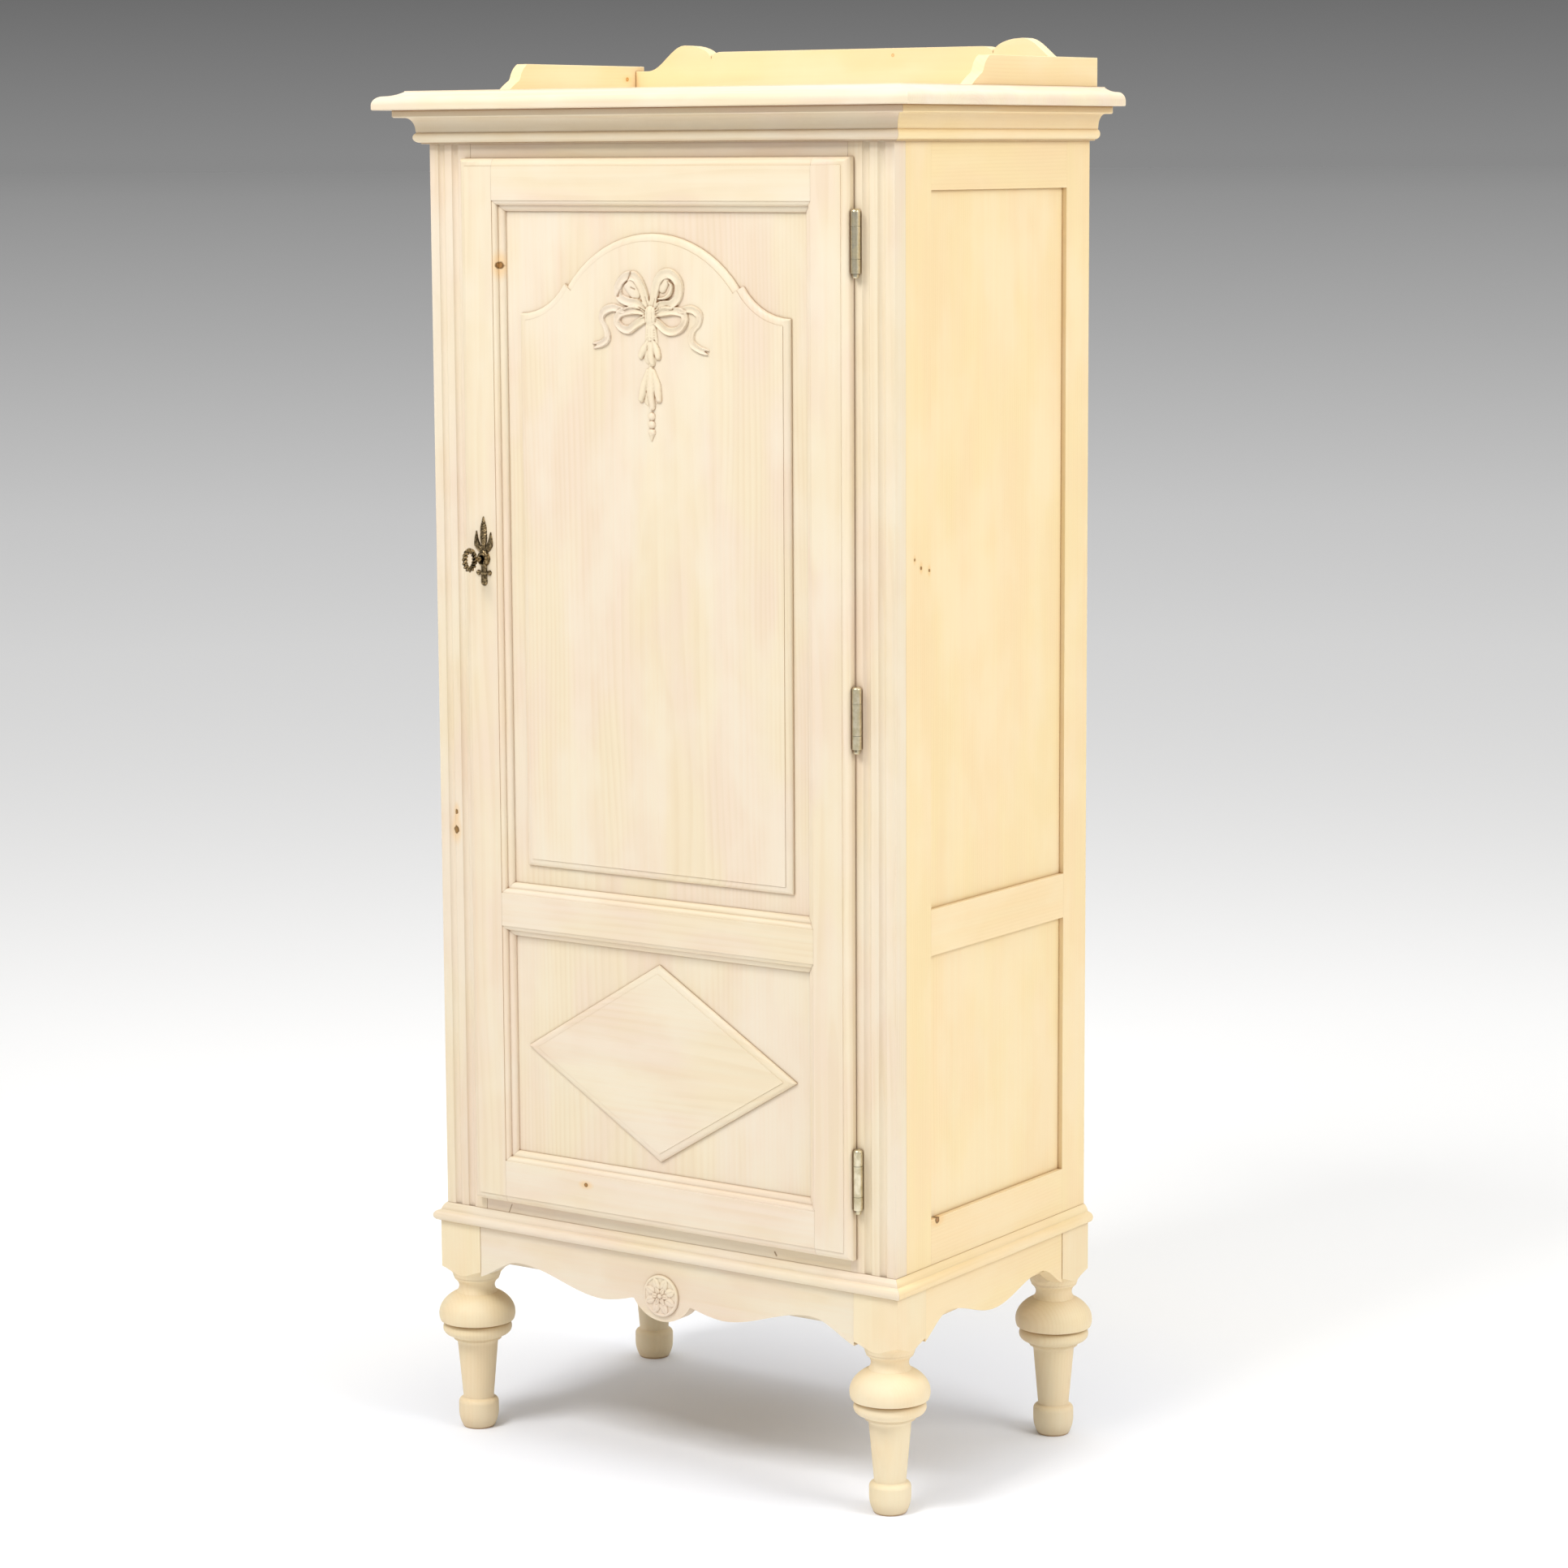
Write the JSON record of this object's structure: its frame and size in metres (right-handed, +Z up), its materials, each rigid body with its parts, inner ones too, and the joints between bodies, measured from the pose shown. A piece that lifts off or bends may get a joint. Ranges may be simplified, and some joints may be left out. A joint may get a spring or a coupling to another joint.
{
  "type": "jelly cupboard",
  "caption": "Tall narrow pine cupboard on turned legs, one panelled door with an arch, a carved bow and a lozenge, moulded cornice and shaped gallery.",
  "frame": {"origin": "on the floor, under the middle of the whole object's box, the key and the rear legs' balls included", "axes": "+X to the viewer's right when facing the door, +Y towards the back, +Z up"},
  "size_m": [0.735, 0.4803, 1.649],
  "materials": {
    "front_pine": "satin",
    "side_pine": "satin",
    "hinge_nickel": "satin",
    "aged_bronze": "satin",
    "lock_steel": "satin"
  },
  "bodies": {
    "case": {"leg_front_left": "front_pine", "leg_front_right": "front_pine", "leg_rear_left": "front_pine", "leg_rear_right": "front_pine", "front_apron": "front_pine", "left_apron": "side_pine", "right_apron": "side_pine", "rear_base_rail": "front_pine", "apron_rosette": "front_pine", "base_moulding_front": "front_pine", "base_moulding_left": "side_pine", "base_moulding_right": "side_pine", "face_stile_left": "front_pine", "face_stile_right": "front_pine", "face_top_rail": "front_pine", "face_bottom_rail": "front_pine", "left_front_stile": "side_pine", "left_rear_stile": "side_pine", "left_top_rail": "side_pine", "left_middle_rail": "side_pine", "left_bottom_rail": "side_pine", "left_upper_panel": "side_pine", "left_lower_panel": "side_pine", "right_front_stile": "side_pine", "right_rear_stile": "side_pine", "right_top_rail": "side_pine", "right_middle_rail": "side_pine", "right_bottom_rail": "side_pine", "right_upper_panel": "side_pine", "right_lower_panel": "side_pine", "back_panel": "side_pine", "bottom_board": "front_pine", "shelf_lower": "front_pine", "shelf_middle": "front_pine", "shelf_upper": "front_pine", "top_board": "front_pine", "bed_moulding_front": "front_pine", "bed_moulding_left": "side_pine", "bed_moulding_right": "side_pine", "gallery_back": "front_pine", "gallery_left": "side_pine", "gallery_right": "side_pine", "hinge_frame_leaves": "hinge_nickel", "hinge_pins": "hinge_nickel"},
    "door": {"door_lock_stile": "front_pine", "door_hinge_stile": "front_pine", "door_top_rail": "front_pine", "door_middle_rail": "front_pine", "door_bottom_rail": "front_pine", "door_upper_panel": "front_pine", "door_lower_panel": "front_pine", "arched_field": "front_pine", "lozenge": "front_pine", "carved_bow": "front_pine", "hinge_door_leaves": "hinge_nickel", "key_plate": "aged_bronze", "lock_case": "lock_steel"},
    "bolt": {"lock_bolt": "lock_steel"},
    "follower": {"lock_follower": "lock_steel"},
    "key": {"key": "aged_bronze"}
  },
  "joints": [
    {"name": "door_swing", "type": "hinge", "parent": "case", "child": "door", "pos_m": [0.2736, -0.1929, 0.90425], "axis": [0, 0, 1], "range_deg": [0, 150]},
    {"name": "bolt_slide", "type": "slide", "parent": "door", "child": "bolt", "axis": [-1, 0, 0], "range_m": [0, 0.01]},
    {"name": "key_turn", "type": "hinge", "parent": "door", "child": "follower", "pos_m": [-0.238, -0.17915, 1.057], "axis": [0, -1, 0], "range_deg": [0, 90]},
    {"name": "key_pull", "type": "slide", "parent": "follower", "child": "key", "axis": [0, -1, 0], "range_m": [0, 0.036]}
  ],
  "couplings": [
    {"joint": "bolt_slide", "follows": "key_turn", "m_per_rad": 0.0063662}
  ]
}
